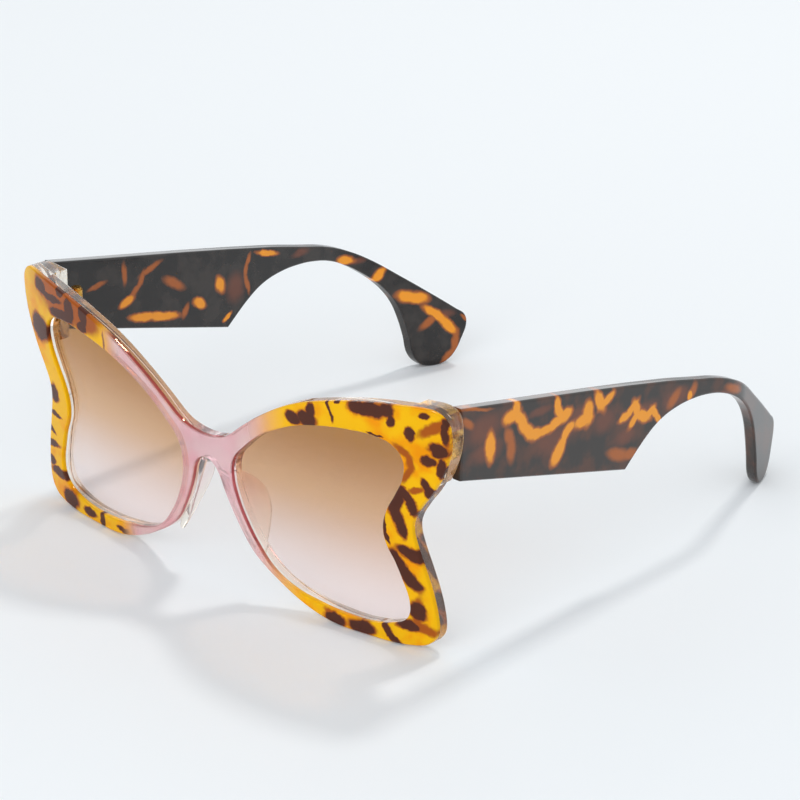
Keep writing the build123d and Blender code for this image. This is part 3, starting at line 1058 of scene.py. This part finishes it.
@dataclass
class Temple:
    """A flat temple that bends inwards behind the ear, with a drawn-in paddle tip.

    Its inner face has a thin skin over the hinge plate, which doesn't show on the real one. Its control
    points are shares of the length behind the boss and of the top's height.
    """

    side: Side
    thickness: float = 3.2
    rounding: float = 0.7
    spread: float = 72.0
    front: float = -62.15
    boss_face: float = -62.35
    length: float = 139.5
    front_top: float = 63.3
    front_bottom: float = 45.0
    toe_in: float = 1.8
    hook: float = 105.5
    hook_radius: float = 30.0
    tip_spread: float = 56.0
    overrun: float = 5.0
    skin: float = 0.12
    cut_start: float = 30.0
    cut_stop: float = 76.0
    cut_pitch: float = 1.0
    top: tuple[Point, ...] = (
        (0.55, 0.7426), (0.643, 0.690), (0.708, 0.651), (0.760, 0.603), (0.803, 0.549), (0.866, 0.447),
        (0.935, 0.330), (0.978, 0.254), (0.995, 0.222), (0.9995, 0.186), (0.988, 0.103), (0.975, 0.047),
        (0.958, 0.012), (0.940, 0), (0.926, 0), (0.915, 0.006),
    )
    under: tuple[Point, ...] = (
        (0.908, 0.014), (0.892, 0.060), (0.883, 0.150), (0.871, 0.245), (0.859, 0.313),
        (0.841, 0.377), (0.816, 0.438), (0.787, 0.491), (0.753, 0.540), (0.717, 0.578), (0.674, 0.604),
        (0.620, 0.616), (0.573, 0.610), (0.534, 0.590), (0.502, 0.555),
    )
    scoop: Point = (0.437, 0.447)

    def outline(self) -> list[Control]:
        """Gives the side outline.

        Returns:
            Its control points, along and up, from the top of the hinge end.
        """
        along = [(self.boss_face + back * self.length, up * self.front_top) for back, up in self.top + self.under]
        scoop = (self.boss_face + self.scoop[0] * self.length, self.scoop[1] * self.front_top)
        return ([(self.front, self.front_top, Edge.CORNER)] + smooth(along)
                + [(*scoop, Edge.CORNER), (self.front, self.front_bottom, Edge.CORNER)])

    def band(self, along: float) -> tuple[float, float]:
        """Gives the middle of the band and its slope angle at a place along the temple.

        Args:
            along: the place, as Y.

        Returns:
            The middle's distance from the centre plane, and the angle by which it runs inwards.
        """
        start = (self.spread - self.thickness / 2, self.boss_face - self.overrun)
        hook = (start[0] - self.toe_in, self.boss_face + self.hook)
        tip = (self.tip_spread - self.thickness / 2, self.boss_face + self.length)
        first = math.atan((start[0] - hook[0]) / (hook[1] - start[1]))
        second = math.atan((hook[0] - tip[0]) / (tip[1] - hook[1]))
        reach = self.hook_radius * math.tan((second - first) / 2)
        begin = hook[1] - reach * math.cos(first)
        if along <= begin:
            return start[0] - (along - start[1]) * math.tan(first), first
        if along >= hook[1] + reach * math.cos(second):
            return hook[0] - (along - hook[1]) * math.tan(second), second
        angle = math.asin(math.sin(first) + (along - begin) / self.hook_radius)
        middle = start[0] - (begin - start[1]) * math.tan(first)
        return middle + self.hook_radius * (math.cos(angle) - math.cos(first)), angle

    def build(self, material: Material) -> bpy.types.Object:
        """Builds the temple.

        Args:
            material: its finish.

        Returns:
            The piece.
        """
        shape = plate_from([self.outline()], self.thickness + self.skin, self.rounding)
        cut_across(shape, 0, self.cut_start, self.cut_stop, self.cut_pitch)
        for vertex in shape.verts:
            along, deep, up = vertex.co
            middle, angle = self.band(along)
            inwards = (deep - self.thickness / 2) / math.cos(angle)
            vertex.co = (self.side.value * (middle - inwards), along, up)
        bmesh.ops.recalc_face_normals(shape, faces=shape.faces)
        word = self.side.word
        return piece_from(shape, f"dark_temple_{word}", material, f"{word}_temple",
                          f"temple_{word}")


@dataclass(frozen=True)
class Lamp:
    """A soft square lamp aimed at the glasses, in metres and watts."""

    name: str
    spot: Spot
    size: float
    power: float
    code: str


@dataclass
class Studio:
    """Camera, floor and soft light."""

    eye: Spot = (0.62663, -0.67354, 0.40975)
    target: Spot = (0.026303, -0.03455, 0.044268)
    lamp_target: Spot = (0, 0, 0.03)
    focal: float = 174.77
    sensor: float = 36.0
    floor_code: str = "EFF3F6"
    floor_reach: float = 4.0
    floor_drop: float = 0.02  # millimetres under the glasses, so that the two don't meet
    floor_gloss: float = 0.9
    floor_shine: float = 0.1
    sweep: Point = (0.35, 0.9)  # where the floor runs into the backdrop, in metres from the middle
    sky_code: str = "F4F6F8"
    sky: float = 0.70
    lamps: tuple[Lamp, ...] = (
        Lamp("key", (-0.14, 0.70, 1.20), 0.17, 4.6, "FFFDF9"),
        Lamp("fill", (0.55, -1.3, 0.5), 1.4, 13.0, "FAFCFF"),
        Lamp("rim", (-1.65, 1.75, 1.0), 1.8, 8.0, "FDFEFF"),
    )

    def aim(self, name: str, data: bpy.types.ID, spot: Spot, target: Spot) -> bpy.types.Object:
        """Puts a camera or a lamp at a spot and turns it to a target.

        Args:
            name: the object's name.
            data: the camera or the light.
            spot: where it hangs.
            target: what it looks at.

        Returns:
            The object.
        """
        holder = bpy.data.objects.new(name, data)
        holder.location = spot
        holder.rotation_euler = (Vector(target) - Vector(spot)).to_track_quat("-Z", "Y").to_euler()
        bpy.context.scene.collection.objects.link(holder)
        return holder

    def build_camera(self) -> None:
        """Builds the camera at the photograph's place."""
        camera = bpy.data.cameras.new("camera")
        camera.lens = self.focal
        camera.sensor_width = self.sensor
        bpy.context.scene.camera = self.aim("camera", camera, self.eye, self.target)

    def build_floor(self) -> None:
        """Builds the floor: pale matt paper, even and without gloss, that fades into the backdrop further out."""
        ground = bmesh.new()
        bmesh.ops.create_grid(ground, x_segments=1, y_segments=1, size=self.floor_reach)
        bmesh.ops.translate(ground, vec=(0, 0, -self.floor_drop * MM), verts=ground.verts)
        floor = held(ground, "floor")
        colour = linear(self.floor_code)
        material, shader = shader_of("pale_paper", {
            "Base Color": colour, "Roughness": self.floor_gloss, "Specular IOR Level": self.floor_shine})
        tree = material.node_tree
        place = add_node(tree, "ShaderNodeTexCoord").outputs["Object"]
        reach = add_node(tree, "ShaderNodeVectorMath", links={0: place}, operation="LENGTH").outputs["Value"]
        seen = add_node(tree, "ShaderNodeLightPath").outputs["Is Camera Ray"]
        far = maths(tree, "MULTIPLY", ramp_between(tree, reach, self.sweep), seen)
        glow = add_node(tree, "ShaderNodeEmission", {"Color": colour, "Strength": 1.0})
        blend = add_node(tree, "ShaderNodeMixShader", links={0: far, 1: shader.outputs[0], 2: glow.outputs[0]})
        output = next(node for node in tree.nodes if node.type == "OUTPUT_MATERIAL")
        tree.links.new(blend.outputs[0], output.inputs["Surface"])
        floor.data.materials.append(material)

    def build_sky(self) -> None:
        """Builds the world: soft light all round, seen and mirrored as the pale backdrop."""
        world = bpy.data.worlds.new("pale studio")
        world.use_nodes = True
        tree = world.node_tree
        tree.nodes.clear()
        light = add_node(tree, "ShaderNodeBackground", {"Color": linear(self.sky_code), "Strength": self.sky})
        backdrop = add_node(tree, "ShaderNodeBackground", {"Color": linear(self.floor_code), "Strength": 1.0})
        ray = add_node(tree, "ShaderNodeLightPath").outputs
        shown = maths(tree, "MAXIMUM", ray["Is Camera Ray"], ray["Is Glossy Ray"])
        shown = maths(tree, "MAXIMUM", shown, ray["Is Transmission Ray"])
        blend = add_node(tree, "ShaderNodeMixShader", links={0: shown, 1: light.outputs[0], 2: backdrop.outputs[0]})
        add_node(tree, "ShaderNodeOutputWorld", links={"Surface": blend.outputs[0]})
        bpy.context.scene.world = world

    def build(self) -> None:
        """Builds the camera, the floor, the world and the lamps."""
        self.build_camera()
        self.build_floor()
        self.build_sky()
        for lamp in self.lamps:
            light = bpy.data.lights.new(lamp.name, "AREA")
            light.size = lamp.size
            light.energy = lamp.power
            light.color = linear(lamp.code)[:3]
            self.aim(lamp.name, light, lamp.spot, self.lamp_target)
        log.info("studio: %d lamps", len(self.lamps))


def main() -> None:
    """Builds the scene, piece by piece."""
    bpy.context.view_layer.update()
    bpy.context.scene.view_settings.view_transform = "Standard"
    Studio().build()

    metal = PlatedHinge().make()
    for name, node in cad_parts.items():
        if "hinge" in name:
            node.data.materials.clear()
            node.data.materials.append(metal)
            log.info("%s: plated", name)

    front = Front()
    front.build_face(FadedTortoiseAcetate().make())
    front.build_clear(ClearAcetate().make())
    tint = GradientLens().make()
    for side in Side:
        front.build_lens(side, tint)
        Temple(side).build(SHEETS[side].make())


if __name__ == "__main__":
    main()
